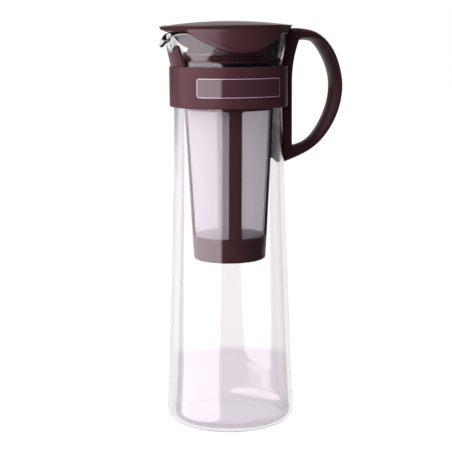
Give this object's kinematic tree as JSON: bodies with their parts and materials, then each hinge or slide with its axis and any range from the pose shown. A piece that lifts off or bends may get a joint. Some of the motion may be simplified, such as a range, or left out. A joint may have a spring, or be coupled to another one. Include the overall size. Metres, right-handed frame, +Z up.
{
  "type": "cold brew coffee maker",
  "caption": "Tall glass jug with a drooping spout, a clip-on neck band with a loop handle, a domed lid with side aprons, and a lift-out mesh strainer with a pull-off cup.",
  "frame": {"origin": "centre of the jug's base, on the surface it stands on", "axes": "+Z up along the jug's axis, +X towards the handle, -X towards the spout"},
  "size_m": [0.1441, 0.0968, 0.3],
  "materials": {
    "clear_glass": "clear borosilicate, blown and fire polished",
    "band_plastic": "dark brown moulded polypropylene, semi-gloss",
    "lid_plastic": "dark brown moulded polypropylene, semi-gloss",
    "strainer_plastic": "dark brown moulded polypropylene, semi-gloss",
    "gloss_film": "glossy film, bare, with a thin pale border",
    "woven_mesh": "fine white polyester monofilament weave"
  },
  "bodies": {
    "jug": {"glass_jug": "clear_glass", "neck_band": "band_plastic", "handle": "band_plastic", "band_film": "gloss_film"},
    "strainer": {"strainer_frame": "strainer_plastic", "mesh_panel_1": "woven_mesh", "mesh_panel_2": "woven_mesh", "mesh_panel_3": "woven_mesh", "mesh_panel_4": "woven_mesh"},
    "cup": {"strainer_cup": "strainer_plastic"},
    "lid": {"lid": "lid_plastic"}
  },
  "joints": [
    {"name": "strainer_lift", "type": "slide", "parent": "jug", "child": "strainer", "axis": [0, 0, 1], "range_m": [0, 0.18]},
    {"name": "cup_pull", "type": "slide", "parent": "strainer", "child": "cup", "axis": [0, 0, -1], "range_m": [0, 0.02]},
    {"name": "lid_lift", "type": "slide", "parent": "strainer", "child": "lid", "axis": [0, 0, 1], "range_m": [0, 0.04]}
  ]
}
